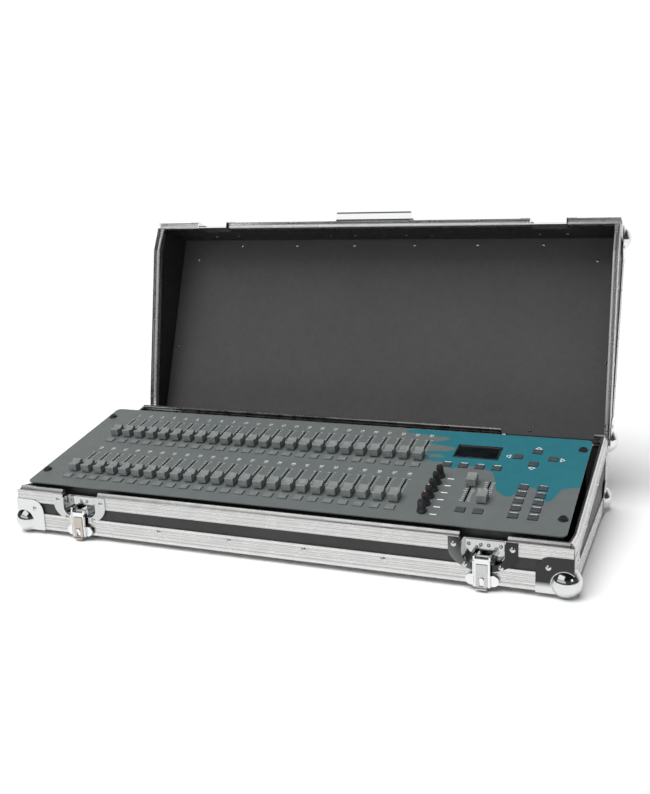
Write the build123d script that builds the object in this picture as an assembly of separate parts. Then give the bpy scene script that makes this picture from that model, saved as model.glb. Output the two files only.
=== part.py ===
from build123d import *
import math
import os

os.makedirs("parts", exist_ok=True)

# A 48-channel lighting control desk sitting in its open flight case.
# Millimetres. +X is the operator's right, +Y points to the back and +Z is up.
# Everything is drawn about the middle of the bottom board's underside. The last
# step moves it all, so that the origin is the bottom centre of the whole object.

# ---- case -----------------------------------------------------------------
CASE_W = 740.0          # outside width over the aluminium
CASE_D = 312.0          # outside depth over the aluminium
LID_TOP = 137.0         # outside height of the closed case over the aluminium
METAL = 1.5             # aluminium leg outside the plywood
PLY = 5.5               # plywood of the walls
BOARD = 6.0             # plywood of the bottom and the lid board
INNER_LEG = 1.0         # aluminium leg inside the plywood
RIM_HEIGHT = 16.0       # outer face of a rim extrusion
TRIM_WIDTH = 22.0       # legs of the edge angles
TONGUE_HEIGHT = 5.0     # ridge on the base rim that locates the lid
LID_GAP = 0.4           # air between the closed lid and the base rim
SPLIT_FRONT = 51.5      # height of the split line at the front face
SPLIT_KINK = 46.0       # ... at the bend behind the front corner
SPLIT_JOINT = 86.5      # ... at the joint ahead of the rear corner
SPLIT_BACK = 93.0       # ... at the rear face
KINK_RUN = 47.0         # length of the front corner pieces along the side
REAR_RUN = 28.0         # length of the rear corner pieces along the side
LATCH_X = 270.0         # latches stand this far left and right of the middle
LATCH_CUT = 55.0        # width of the rim cut-out at a latch
HINGE_X = 248.0
HINGE_DROP = 13.5       # hinge axis below the split line at the rear
HINGE_OUT = 3.2         # hinge axis behind the rear face
LID_OPEN = 110.0        # opening angle of the lid
PORT_LEFT = 224.0       # cable port in the rear wall, from here to the right corner
PORT_RIGHT = 352.0
PORT_DEPTH = 12.0
BALL_R = 18.0
BALL_INSET = 9.0
BALL_FOOT = 0.6         # height of the cap sliced off each ball to stand on
RIVET_PITCH = 101.0

# ---- desk -----------------------------------------------------------------
PANEL_W = 720.0
PANEL_L = 224.0
PANEL_T = 1.5
PANEL_SLOPE = 12.75
PANEL_FRONT_Y = -146.0  # front edge of the panel's upper face
PANEL_FRONT_Z = 60.6
CHASSIS_INSET = 7.0
SHEET = 1.2
RAIL_HEIGHT = 6.0
CHANNELS = 24
FADER_FIRST_U = 50.0
FADER_PITCH = 20.0
FADER_TRAVEL = 45.0
ROW_PITCH = 103.0
ROW_V = 43.5            # cap centres of the lower row, faders down
FLASH_V = 24.0          # flash buttons of the lower row
MASTER_U = (593.0, 614.0)
MASTER_V = (93.0, 58.0)
MASTER_LOW = 54.0       # lowest cap centre of a master
MASTER_BUTTON_V = 33.0
KNOB_U = 550.0
KNOB_V = 22.0
KNOB_PITCH = 16.4
KNOB_NAMES = ("violet", "amber", "white", "blue", "green", "red")
FUNCTION_U = (550.0, 571.3, 592.6, 613.9)
FUNCTION_V = 134.0
ARROWS = ((634.0, 167.5), (656.2, 183.5), (678.5, 167.5), (656.2, 151.5))
MEMORY_U = (655.0, 678.0)
MEMORY_V = (95.0, 79.0, 63.0, 47.0, 31.0)
DISPLAY_U = (552.0, 611.0)
DISPLAY_V = (154.5, 188.5)
SCREW_U = 8.5
SCREW_V = (34.0, 197.0)
BUTTON_PROUD = 1.7

HALF_W = CASE_W / 2
HALF_D = CASE_D / 2
PLY_OUT_X = HALF_W - METAL
PLY_IN_X = PLY_OUT_X - PLY
PLY_OUT_Y = HALF_D - METAL
PLY_IN_Y = PLY_OUT_Y - PLY
RIM_IN_Y = PLY_IN_Y - INNER_LEG
KINK_Y = -HALF_D + KINK_RUN
JOINT_Y = HALF_D - REAR_RUN
HINGE_Y = HALF_D + HINGE_OUT
HINGE_Z = SPLIT_BACK - HINGE_DROP
SLOPE = math.radians(PANEL_SLOPE)


# ---- helpers --------------------------------------------------------------
def block(x0, x1, y0, y1, z0, z1):
    """Box from its two corners."""
    box = Box(x1 - x0, y1 - y0, z1 - z0)
    return Pos((x0 + x1) / 2, (y0 + y1) / 2, (z0 + z1) / 2) * box


def side_prism(points, x0, x1):
    """Solid between two X planes whose outline is given as (y, z) points."""
    wire = Polyline([(x0, y, z) for y, z in points], close=True)
    return extrude(make_face(wire), amount=x1 - x0, dir=(1, 0, 0))


def rod_y(x, y0, y1, z, radius):
    return Pos(x, (y0 + y1) / 2, z) * Rot(90, 0, 0) * Cylinder(radius, y1 - y0)


def rod_x(x0, x1, y, z, radius):
    return Pos((x0 + x1) / 2, y, z) * Rot(0, 90, 0) * Cylinder(radius, x1 - x0)


def solids_of(*shapes):
    found = []
    for shape in shapes:
        if isinstance(shape, (list, tuple)):
            found += solids_of(*shape)
        else:
            found += list(shape.solids())
    return found


pieces = {}


def save(name, *shapes):
    """Keep a node's solids until the whole object is there to be placed."""
    pieces[name] = solids_of(*shapes)


def on_panel(u, v, h=0.0):
    """Place on the sloping panel: u from its left edge, v up the slope, h above it."""
    y = PANEL_FRONT_Y + v * math.cos(SLOPE) - h * math.sin(SLOPE)
    z = PANEL_FRONT_Z + v * math.sin(SLOPE) + h * math.cos(SLOPE)
    return Location((u - PANEL_W / 2, y, z), (PANEL_SLOPE, 0, 0))


def panel_block(u0, u1, v0, v1, h0, h1):
    """Box in panel coordinates."""
    box = Box(u1 - u0, v1 - v0, h1 - h0)
    return on_panel((u0 + u1) / 2, (v0 + v1) / 2, (h0 + h1) / 2) * box


def opened(shape):
    """Turn a piece of the closed lid to its open rest pose."""
    turn = Pos(0, HINGE_Y, HINGE_Z) * Rot(-LID_OPEN, 0, 0) * Pos(0, -HINGE_Y, -HINGE_Z)
    return [turn * solid for solid in solids_of(shape)]


def split_height(y):
    """Height of the split line on the sides, from the bent outline."""
    line = [(-HALF_D, SPLIT_FRONT), (KINK_Y, SPLIT_KINK), (JOINT_Y, SPLIT_JOINT), (HALF_D, SPLIT_BACK)]
    for (y0, z0), (y1, z1) in zip(line, line[1:]):
        if y <= y1:
            return z0 + (z1 - z0) * (y - y0) / (y1 - y0)
    return SPLIT_BACK


def mirrored(shape):
    return mirror(shape, about=Plane.YZ)


# ---- rim extrusions -------------------------------------------------------
GROOVES = (4.5, 8.5, 12.5)
GROOVE_DEPTH = 0.5
GROOVE_WIDTH = 1.2


def base_rim_outline():
    """Section of the base rim: across from the outer face, up from the split line."""
    wall = METAL + PLY + INNER_LEG
    outline = [(wall, -12.0), (wall, -4.0), (wall - 0.6, -3.4), (wall - 0.6, -1.6), (wall, -1.0)]
    outline += [(wall, TONGUE_HEIGHT - 1.6), (wall - 1.4, TONGUE_HEIGHT), (4.2, TONGUE_HEIGHT)]
    outline += [(2.2, 2.2), (0.6, 0.4), (0, -0.6)]
    for depth in GROOVES:
        top = -depth + GROOVE_WIDTH / 2
        bottom = -depth - GROOVE_WIDTH / 2
        outline += [(0, top), (GROOVE_DEPTH, top - 0.3), (GROOVE_DEPTH, bottom + 0.3), (0, bottom)]
    outline += [(0, -RIM_HEIGHT), (METAL, -RIM_HEIGHT), (METAL, -1.2), (METAL + PLY, -1.2)]
    outline += [(METAL + PLY, -12.0)]
    return outline


def lid_rim_outline():
    """Section of the lid rim, with the hollow for the tongue on its inner side."""
    wall = METAL + PLY + INNER_LEG
    roof = TONGUE_HEIGHT + LID_GAP
    outline = [(wall, 14.0), (wall, roof), (3.4, roof), (1.4, 2.4), (0.6, LID_GAP), (0.2, LID_GAP), (0, 1.0)]
    for height in GROOVES:
        bottom = height - GROOVE_WIDTH / 2
        top = height + GROOVE_WIDTH / 2
        outline += [(0, bottom), (GROOVE_DEPTH, bottom + 0.3), (GROOVE_DEPTH, top - 0.3), (0, top)]
    outline += [(0, RIM_HEIGHT), (METAL, RIM_HEIGHT), (METAL, roof + 1.2), (METAL + PLY, roof + 1.2)]
    outline += [(METAL + PLY, 14.0)]
    return outline


def rim_along_x(outline, x0, x1, face_y, inward, split):
    """Straight rim on the front or rear; inward is +1 at the front and -1 at the rear."""
    points = [(x0, face_y + inward * across, split + up) for across, up in outline]
    return extrude(make_face(Polyline(points, close=True)), amount=x1 - x0, dir=(1, 0, 0))


def rim_along_y(outline, y0, y1):
    """Rim piece on the right side that follows the split line."""
    z0 = split_height(y0)
    z1 = split_height(y1)
    points = [(HALF_W - across, y0, z0 + up) for across, up in outline]
    length = math.hypot(y1 - y0, z1 - z0)
    return extrude(make_face(Polyline(points, close=True)), amount=length, dir=(0, y1 - y0, z1 - z0))


PIECE_GAP = 0.3
WALL = METAL + PLY + INNER_LEG


def side_rims(outline):
    """Front corner piece, long piece and rear corner piece, for both sides."""
    cuts = (-HALF_D + WALL, KINK_Y, JOINT_Y, HALF_D - WALL)
    pieces = [rim_along_y(outline, y0 + PIECE_GAP / 2, y1 - PIECE_GAP / 2) for y0, y1 in zip(cuts, cuts[1:])]
    return pieces + [mirrored(piece) for piece in pieces]


def without_corner_tongues(rims, split):
    """Take the tongue off the last few millimetres, where the side rims' lips pass."""
    ends = [
        block(side * HALF_W - 4.6, side * HALF_W + 4.6, -CASE_D, CASE_D, split - 0.6, split + 9)
        for side in (-1, 1)
    ]
    return [rim - ends for rim in rims]


def front_rims(outline):
    """Front rim in three lengths between the corners and the latch cut-outs."""
    inner = LATCH_X - LATCH_CUT / 2
    outer = LATCH_X + LATCH_CUT / 2
    spans = ((-HALF_W, -outer), (-inner, inner), (outer, HALF_W))
    return [rim_along_x(outline, x0, x1, -HALF_D, 1, SPLIT_FRONT) for x0, x1 in spans]


REAR_JOINTS = (-HALF_W, -40.0, 212.0, PORT_LEFT)


def rear_rims(outline):
    """Rear rim lengths up to the cable port, and the stub at the right corner."""
    spans = list(zip(REAR_JOINTS, REAR_JOINTS[1:])) + [(PORT_RIGHT, HALF_W)]
    return [
        rim_along_x(outline, x0 + PIECE_GAP / 2, x1 - PIECE_GAP / 2, HALF_D, -1, SPLIT_BACK)
        for x0, x1 in spans
    ]


save("base_rim_front", without_corner_tongues(front_rims(base_rim_outline()), SPLIT_FRONT))
save("base_rim_sides", side_rims(base_rim_outline()))
save("base_rim_rear", without_corner_tongues(rear_rims(base_rim_outline()), SPLIT_BACK))
lid_rims = front_rims(lid_rim_outline()) + side_rims(lid_rim_outline()) + rear_rims(lid_rim_outline())
save("lid_rims", [opened(piece) for piece in lid_rims])

# ---- plywood of the base --------------------------------------------------
EDGE = 1.4              # the plywood stops this far under the split line
CUP_W = LATCH_CUT - 3
CUP_BOTTOM = 22.0
CUP_BACK_Y = -HALF_D + 13.0

save("bottom_board", block(-PLY_OUT_X, PLY_OUT_X, -PLY_OUT_Y, PLY_OUT_Y, 0, BOARD))

front_wall = block(-PLY_IN_X, PLY_IN_X, -PLY_OUT_Y, -PLY_IN_Y, BOARD, SPLIT_FRONT - EDGE)
for side in (-1, 1):
    front_wall -= block(
        side * LATCH_X - CUP_W / 2 - 1.5,
        side * LATCH_X + CUP_W / 2 + 1.5,
        -HALF_D,
        -RIM_IN_Y,
        CUP_BOTTOM - 1.5,
        SPLIT_FRONT,
    )
save("base_front_wall", front_wall)

rear_wall = block(-PLY_IN_X, PLY_IN_X, PLY_IN_Y, PLY_OUT_Y, BOARD, SPLIT_BACK - EDGE)
rear_wall -= block(PORT_LEFT, PORT_RIGHT, 0, CASE_D, SPLIT_BACK - PORT_DEPTH, SPLIT_BACK)
save("base_rear_wall", rear_wall)


def wall_outline(level, offset):
    """Side-wall outline from a level edge to the split line moved by offset."""
    points = [(-PLY_OUT_Y, level), (PLY_OUT_Y, level), (PLY_OUT_Y, split_height(PLY_OUT_Y) + offset)]
    points += [(JOINT_Y, SPLIT_JOINT + offset), (KINK_Y, SPLIT_KINK + offset)]
    points += [(-PLY_OUT_Y, split_height(-PLY_OUT_Y) + offset)]
    return points


base_side = side_prism(wall_outline(BOARD, -EDGE), PLY_IN_X, PLY_OUT_X)
base_side = base_side - front_rims(base_rim_outline()) - rear_rims(base_rim_outline())
save("base_side_walls", base_side, mirrored(base_side))


# ---- edge angles ----------------------------------------------------------
def angle_outline():
    """Section of an edge angle: two legs on the outside of a corner, grooved."""
    outline = [(0, 0), (TRIM_WIDTH, 0), (TRIM_WIDTH, METAL)]
    outline += [(METAL, METAL), (METAL, TRIM_WIDTH), (0, TRIM_WIDTH)]
    for height in (16.0, 11.0, 6.0):
        top = height + GROOVE_WIDTH / 2
        bottom = height - GROOVE_WIDTH / 2
        outline += [(0, top), (GROOVE_DEPTH, top - 0.3), (GROOVE_DEPTH, bottom + 0.3), (0, bottom)]
    return outline


def edge_angles(level, up):
    """Angles round a horizontal board; up is +1 for the bottom and -1 for the lid."""
    pieces = []
    for inward in (1, -1):
        points = [
            (-HALF_W, inward * (across - HALF_D), level + up * rise)
            for across, rise in angle_outline()
        ]
        pieces.append(extrude(make_face(Polyline(points, close=True)), amount=CASE_W, dir=(1, 0, 0)))
    run = HALF_D - TRIM_WIDTH - PIECE_GAP
    points = [(HALF_W - across, -run, level + up * rise) for across, rise in angle_outline()]
    right = extrude(make_face(Polyline(points, close=True)), amount=2 * run, dir=(0, 1, 0))
    return pieces + [right, mirrored(right)]


def corner_angle(y_sign, z0, z1):
    """Upright angle on a vertical edge of the right side."""
    legs = block(HALF_W - TRIM_WIDTH, HALF_W, PLY_OUT_Y, HALF_D, z0, z1)
    legs += block(PLY_OUT_X, HALF_W, HALF_D - TRIM_WIDTH, HALF_D, z0, z1)
    return legs if y_sign > 0 else mirror(legs, about=Plane.XZ)


def corner_angles(front_span, rear_span):
    pieces = [corner_angle(-1, *front_span), corner_angle(1, *rear_span)]
    return pieces + [mirrored(piece) for piece in pieces]


front_low = SPLIT_KINK - RIM_HEIGHT
rear_low = split_height(HALF_D - TRIM_WIDTH) - RIM_HEIGHT
save(
    "base_edge_trims",
    edge_angles(-METAL, 1),
    corner_angles((TRIM_WIDTH - METAL + 0.2, front_low), (TRIM_WIDTH - METAL + 0.2, rear_low)),
)
lid_edges = edge_angles(LID_TOP, -1)
lid_low_front = SPLIT_FRONT + RIM_HEIGHT + 0.2
lid_low_rear = SPLIT_BACK + RIM_HEIGHT + 0.2
lid_high = LID_TOP - TRIM_WIDTH - 0.2
lid_edges += corner_angles((lid_low_front, lid_high), (lid_low_rear, lid_high))
save("lid_edge_trims", [opened(piece) for piece in lid_edges])

# ---- plywood of the lid ---------------------------------------------------
ROOF_TOP = LID_TOP - METAL
ROOF = ROOF_TOP - BOARD
LID_EDGE = TONGUE_HEIGHT + LID_GAP + 1.3
save("lid_top_board", opened(block(-PLY_OUT_X, PLY_OUT_X, -PLY_OUT_Y, PLY_OUT_Y, ROOF, ROOF_TOP)))

lid_front = block(-PLY_IN_X, PLY_IN_X, -PLY_OUT_Y, -PLY_IN_Y, SPLIT_FRONT + LID_EDGE, ROOF)
for side in (-1, 1):
    lid_front -= block(
        side * LATCH_X - CUP_W / 2 - 1.5,
        side * LATCH_X + CUP_W / 2 + 1.5,
        -HALF_D,
        -RIM_IN_Y,
        SPLIT_FRONT,
        SPLIT_FRONT + 25.5,
    )
save("lid_front_wall", opened(lid_front))

lid_rear = block(-PLY_IN_X, PLY_IN_X, PLY_IN_Y, PLY_OUT_Y, SPLIT_BACK + LID_EDGE, ROOF)
lid_rear -= block(PORT_LEFT, PORT_RIGHT, 0, CASE_D, SPLIT_BACK, SPLIT_BACK + LID_EDGE + 5)
save("lid_rear_wall", opened(lid_rear))

lid_side = side_prism(wall_outline(ROOF, LID_EDGE), PLY_IN_X, PLY_OUT_X)
lid_side = lid_side - front_rims(lid_rim_outline()) - rear_rims(lid_rim_outline())
save("lid_side_walls", opened(lid_side), opened(mirrored(lid_side)))


# ---- ball corners ---------------------------------------------------------
FLANGE_REACH = 41.0
FLANGE_T = 1.2
FLANGE_CORNER = 17.0    # rounding of each flange's free corner


def flange(x_gap, y_gap, z_gap, axis):
    """One flange of a ball corner: a square plate with its free corner rounded."""
    reach = FLANGE_REACH
    plate = block(
        HALF_W - (reach if x_gap else 0), HALF_W + FLANGE_T,
        -HALF_D - FLANGE_T, -HALF_D + (reach if y_gap else 0),
        -METAL - FLANGE_T, -METAL + (reach if z_gap else 0),
    )
    free = [
        edge for edge in plate.edges().filter_by(axis)
        if (not x_gap or edge.center().X < HALF_W - reach / 2)
        and (not y_gap or edge.center().Y > -HALF_D + reach / 2)
        and (not z_gap or edge.center().Z > reach / 2)
    ]
    return fillet(free, FLANGE_CORNER)


def ball_corner():
    """Pressed corner for the right-front-bottom corner: ball and three flanges."""
    shell = flange(True, False, True, Axis.Y) + flange(False, True, True, Axis.X)
    shell += flange(True, True, False, Axis.Z)
    centre = (HALF_W - BALL_INSET, -HALF_D + BALL_INSET, BALL_INSET)
    ball = Pos(*centre) * Sphere(BALL_R)
    ball -= block(0, HALF_W, -HALF_D, 0, -METAL, 100)
    low = BALL_INSET - BALL_R
    ball -= block(0, CASE_W, -CASE_D, CASE_D, low - 5, low + BALL_FOOT)
    return shell + ball


corner = ball_corner()
corner_rear = mirror(corner, about=Plane.XZ)
save("base_ball_corners", corner, mirrored(corner), corner_rear, mirrored(corner_rear))
flip = Plane.XY.offset((LID_TOP - METAL) / 2)
lid_corners = [mirror(piece, about=flip) for piece in (corner, corner_rear)]
lid_corners += [mirrored(piece) for piece in lid_corners]
save("lid_ball_corners", [opened(piece) for piece in lid_corners])


# ---- rivets ---------------------------------------------------------------
RIVET_R = 3.2
RIVET_RISE = 1.4


def dome(radius=RIVET_R, rise=RIVET_RISE):
    """Round rivet head on the XY plane."""
    ball_r = (radius ** 2 + rise ** 2) / (2 * rise)
    return Pos(0, 0, rise - ball_r) * Sphere(ball_r) - block(-20, 20, -20, 20, -40, 0)


def front_rivet(x, z, face=-HALF_D):
    return Pos(x, face, z) * Rot(90, 0, 0) * dome()


def rear_rivet(x, z, face=HALF_D):
    return Pos(x, face, z) * Rot(-90, 0, 0) * dome()


def side_rivet(y, z, face=HALF_W):
    return Pos(face, y, z) * Rot(0, 90, 0) * dome()


RIVET_XS = [RIVET_PITCH * step for step in (-1.5, -0.5, 0.5, 1.5)]
TRIM_RIVET_Z = 13.8


def under_rivet(x, y):
    return Pos(x, y, -METAL) * Rot(180, 0, 0) * dome()


def top_rivet(x, y):
    """Dome on top of the closed lid and its clinched tip inside."""
    head = Pos(x, y, LID_TOP) * dome()
    tip = Pos(x, y, ROOF) * (Rot(180, 0, 0) * (dome(2.6, 1.2) - Pos(0, 0, 1.2) * Cylinder(0.8, 1.4)))
    return [head, tip]


def wall_tip(x, z):
    """Clinched tip on the inner face of the closed lid's front wall."""
    return Pos(x, -PLY_IN_Y, z) * Rot(-90, 0, 0) * (dome(2.4, 1.2) - Pos(0, 0, 1.2) * Cylinder(0.8, 1.4))


LID_RIVET_XS = [RIVET_PITCH * step for step in (-2.5, -1.5, -0.5, 0.5, 1.5, 2.5)]
BOARD_EDGE = 16.0       # rivets through the bottom and lid boards, in from the outside
base_rivets = [front_rivet(x, TRIM_RIVET_Z) for x in RIVET_XS]
base_rivets += [under_rivet(x, y) for x in RIVET_XS for y in (BOARD_EDGE - HALF_D, HALF_D - BOARD_EDGE)]
base_rivets += [rear_rivet(x, TRIM_RIVET_Z) for x in RIVET_XS]
right_rivets = [side_rivet(y, TRIM_RIVET_Z) for y in (-70, 0, 70)]
right_rivets += [side_rivet(y, split_height(y) - 10.5) for y in (-60, 45)]
right_rivets += [rear_rivet(345, 55), side_rivet(HALF_D - 11, 55)]
ball_face = HALF_W + FLANGE_T
FLANGE_RIVET = 27.0
right_rivets += [
    front_rivet(HALF_W - FLANGE_RIVET, FLANGE_RIVET, -HALF_D - FLANGE_T),
    rear_rivet(HALF_W - FLANGE_RIVET, FLANGE_RIVET, HALF_D + FLANGE_T),
    side_rivet(-HALF_D + FLANGE_RIVET, FLANGE_RIVET, ball_face),
    side_rivet(HALF_D - FLANGE_RIVET, FLANGE_RIVET, ball_face),
]
dish_face = -HALF_D - 1.2
DISH_RIVETS = ((-33.5, -8.5), (33.5, -8.5), (-20.5, -31.5), (20.5, -31.5))
for side in (-1, 1):
    for across, rise in DISH_RIVETS:
        base_rivets.append(front_rivet(side * LATCH_X + across, SPLIT_FRONT + rise, dish_face))
save("base_rivets", base_rivets, right_rivets, [mirrored(piece) for piece in right_rivets])

top_z = LID_TOP - 11
lid_rivets = [front_rivet(x, top_z) for x in LID_RIVET_XS]
lid_rivets += [rear_rivet(x, top_z) for x in RIVET_XS]
lid_right = [side_rivet(y, top_z) for y in (-70, 0, 70)]
lid_right += [side_rivet(y, split_height(y) + 10.5) for y in (-60, 45)]
lid_right += [
    front_rivet(HALF_W - FLANGE_RIVET, LID_TOP - METAL - FLANGE_RIVET, -HALF_D - FLANGE_T),
    rear_rivet(HALF_W - FLANGE_RIVET, LID_TOP - METAL - FLANGE_RIVET, HALF_D + FLANGE_T),
    side_rivet(-HALF_D + FLANGE_RIVET, LID_TOP - METAL - FLANGE_RIVET, ball_face),
    side_rivet(HALF_D - FLANGE_RIVET, LID_TOP - METAL - FLANGE_RIVET, ball_face),
]
for side in (-1, 1):
    for across in (-33.5, 33.5):
        lid_rivets.append(front_rivet(side * LATCH_X + across, SPLIT_FRONT + 9, dish_face))
lid_rivets += lid_right + [mirrored(piece) for piece in lid_right]
for x in LID_RIVET_XS:
    lid_rivets += top_rivet(x, BOARD_EDGE - HALF_D) + top_rivet(x, HALF_D - BOARD_EDGE)
for side in (-1, 1):
    lid_rivets += top_rivet(side * (HALF_W - BOARD_EDGE), 35.0)
    lid_rivets += top_rivet(side * (HALF_W - 37.0), -HALF_D + 41.0)
    lid_rivets += [wall_tip(side * LATCH_X + across, 107.0) for across in (-20, 20)]
    lid_rivets += [wall_tip(side * x, 108.0) for x in (42, 84)]
save("lid_rivets", [opened(piece) for piece in lid_rivets])

# ---- latches --------------------------------------------------------------
DISH_W = 80.0
DISH_DROP = 38.0
DISH_T = 1.2
CUP_DROP = 4.0          # top of the cup below the split line


def half_dish(width, drop, straight, thickness):
    """Flange with square shoulders and a round end, hanging from the split line."""
    plate = Rot(90, 0, 0) * extrude(Ellipse(width / 2, drop - straight), amount=thickness)
    plate = Pos(0, 0, -straight) * plate - block(-60, 60, -60, 60, -straight, 60)
    return plate + block(-width / 2, width / 2, -thickness, 0, -straight, 0)


def base_dish():
    flange = half_dish(DISH_W, DISH_DROP, 14.0, DISH_T)
    flange -= block(-CUP_W / 2, CUP_W / 2, -5, 5, -CUP_DROP, 5)
    depth = CUP_BACK_Y + HALF_D
    height = SPLIT_FRONT - CUP_DROP - CUP_BOTTOM
    solid = Pos(0, depth / 2, -CUP_DROP - height / 2) * Box(CUP_W, depth, height)
    solid = fillet(solid.edges().filter_by(Axis.Y).group_by(Axis.Z)[0], 12)
    room = Pos(0, depth / 2 - 2.2, -CUP_DROP - height / 2 + 1) * Box(CUP_W - 2.4, depth + 2, height)
    room = fillet(room.edges().filter_by(Axis.Y).group_by(Axis.Z)[0], 11)
    plate = block(-22, 22, depth - 3.0, depth - 1.0, -CUP_DROP - 12, -CUP_DROP - 1)
    for across in (-18.5, -4.5, 4.5, 18.5):
        plate += Pos(across, depth - 3.0, -CUP_DROP - 6.5) * Rot(90, 0, 0) * dome(2.2, 1.1)
    return (flange + solid) - room + plate


dish = base_dish()
dishes = [Pos(side * LATCH_X, -HALF_D, SPLIT_FRONT) * dish for side in (-1, 1)]
PIVOT_Y = -HALF_D + 0.8
PIVOT_Z = 31.0
ARM_W = 20.0
LUG_W = 3.0
PIVOT_R = 1.5
for index, side in enumerate((-1, 1)):
    for end in (-1, 1):
        lug_x = side * LATCH_X + end * (ARM_W / 2 + 0.4 + LUG_W / 2)
        lug_sides = (lug_x - LUG_W / 2, lug_x + LUG_W / 2)
        lug = block(*lug_sides, PIVOT_Y - 2.6, CUP_BACK_Y - 0.8, PIVOT_Z - 4, PIVOT_Z + 4)
        lug -= rod_x(lug_x - 5, lug_x + 5, PIVOT_Y, PIVOT_Z, PIVOT_R + 0.05)
        dishes[index] += lug
save("latch_dishes", dishes)

KEEPER_H = 24.0
KEEPER_DEPTH = 8.6
keepers = []
for side in (-1, 1):
    flange = Pos(0, -DISH_T / 2, KEEPER_H / 2 + LID_GAP) * Box(DISH_W, DISH_T, KEEPER_H)
    flange = fillet(flange.edges().filter_by(Axis.Y).group_by(Axis.Z)[-1], 10)
    cup = Pos(0, KEEPER_DEPTH / 2, KEEPER_H / 2 + LID_GAP) * Box(CUP_W, KEEPER_DEPTH, KEEPER_H)
    room = Pos(0, KEEPER_DEPTH / 2 - 1.2, KEEPER_H / 2 - 1.2) * Box(CUP_W - 2.4, KEEPER_DEPTH, KEEPER_H)
    keeper = flange + cup - room
    keeper += block(-9, 9, KEEPER_DEPTH - 4.6, KEEPER_DEPTH - 1.1, 13.0, 15.0)
    keepers.append(Pos(side * LATCH_X, -HALF_D, SPLIT_FRONT) * keeper)
save("lid_keeper_dishes", [opened(piece) for piece in keepers])

ARM_Y = -HALF_D - 6.0   # outer face of the hanging arm plate
ARM_T = 1.5
ARM_LOW = -3.0
WING_Z = 6.0
SPINDLE_R = 2.5
HOOK_T = 1.2


def latch_arm(x):
    """Swing plate with two knuckle ears, a pin and the hole for the spindle."""
    plate = block(x - ARM_W / 2, x + ARM_W / 2, ARM_Y, ARM_Y + ARM_T, ARM_LOW, PIVOT_Z - 1)
    for end in (-1, 1):
        rail_x = x + end * (ARM_W / 2 - 0.6)
        plate += block(rail_x - 0.6, rail_x + 0.6, ARM_Y - 2.0, ARM_Y + ARM_T, ARM_LOW + 3, PIVOT_Z - 3)
    ears = block(x - ARM_W / 2, x - ARM_W / 2 + 2, ARM_Y, PIVOT_Y + 2.2, PIVOT_Z - 2.2, PIVOT_Z + 2.2)
    ears += block(x + ARM_W / 2 - 2, x + ARM_W / 2, ARM_Y, PIVOT_Y + 2.2, PIVOT_Z - 2.2, PIVOT_Z + 2.2)
    pin = rod_x(x - ARM_W / 2 - 3.4, x + ARM_W / 2 + 3.4, PIVOT_Y, PIVOT_Z, PIVOT_R)
    arm = plate + ears + pin
    arm -= rod_y(x, ARM_Y - 1, ARM_Y + ARM_T + 1, WING_Z, SPINDLE_R + 0.08)
    return arm


def butterfly(x):
    """Two rounded wings on a short spindle, behind the hanging plate."""
    back = ARM_Y + ARM_T + 0.3
    bar = block(x - 12, x + 12, back, back + 2.4, WING_Z - 4, WING_Z + 4)
    for end in (-1, 1):
        bar += rod_y(x + end * 12.5, back, back + 2.4, WING_Z - 1.5, 6.5)
    return bar + rod_y(x, ARM_Y - HOOK_T - 0.9, back + 1, WING_Z, SPINDLE_R)


def latch_hook(x):
    """Flat hook that slides on the arm and turns over at its end."""
    front = ARM_Y - 0.3
    low = ARM_LOW - 2.2
    plate = block(x - 6.5, x + 6.5, front - HOOK_T, front, low, 24)
    plate -= block(x - SPINDLE_R - 0.3, x + SPINDLE_R + 0.3, front - 5, front + 1, WING_Z - 8, WING_Z + 3.2)
    lip = block(x - 6.5, x + 6.5, front - HOOK_T - 2.0, front - HOOK_T + 0.2, low, low + 1.4)
    return plate + lip


for side, word in ((-1, "left"), (1, "right")):
    save(f"latch_{word}_arm", latch_arm(side * LATCH_X))
    save(f"latch_{word}_butterfly", butterfly(side * LATCH_X))
    save(f"latch_{word}_hook", latch_hook(side * LATCH_X))

# ---- hinges ---------------------------------------------------------------
HINGE_W = 56.0
LEAF_T = 1.5
KNUCKLE_R = 2.9
HINGE_PIN_R = 1.5
base_leaves = []
lid_leaves = []
for side in (-1, 1):
    left = side * HINGE_X - HINGE_W / 2
    third = HINGE_W / 3
    leaf = block(left, left + HINGE_W, HALF_D, HALF_D + LEAF_T, HINGE_Z - 34, HINGE_Z - 3.2)
    for start in (left, left + 2 * third):
        knuckle = rod_x(start, start + third - 0.3, HINGE_Y, HINGE_Z, KNUCKLE_R)
        knuckle += block(start, start + third - 0.3, HALF_D, HALF_D + LEAF_T, HINGE_Z - 4, HINGE_Z)
        leaf += knuckle - rod_x(left - 5, left + HINGE_W + 5, HINGE_Y, HINGE_Z, HINGE_PIN_R)
    base_leaves.append(leaf)
    base_leaves.append(rod_x(left, left + HINGE_W - 0.3, HINGE_Y, HINGE_Z, HINGE_PIN_R))
    lid_leaf = block(left, left + HINGE_W, HALF_D, HALF_D + LEAF_T, SPLIT_BACK + LID_GAP, SPLIT_BACK + 34)
    lid_knuckle = rod_x(left + third + 0.3, left + 2 * third - 0.6, HINGE_Y, HINGE_Z, KNUCKLE_R)
    strap_sides = (left + third + 0.3, left + 2 * third - 0.6)
    strap = block(*strap_sides, HALF_D + 0.4, HALF_D + LEAF_T, HINGE_Z, SPLIT_BACK + 2)
    lid_leaf += lid_knuckle + strap
    lid_leaf -= rod_x(left - 5, left + HINGE_W + 5, HINGE_Y, HINGE_Z, HINGE_PIN_R + 0.06)
    lid_leaves.append(opened(lid_leaf))
save("hinge_leaves_base", base_leaves)
save("hinge_leaves_lid", lid_leaves)

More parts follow.
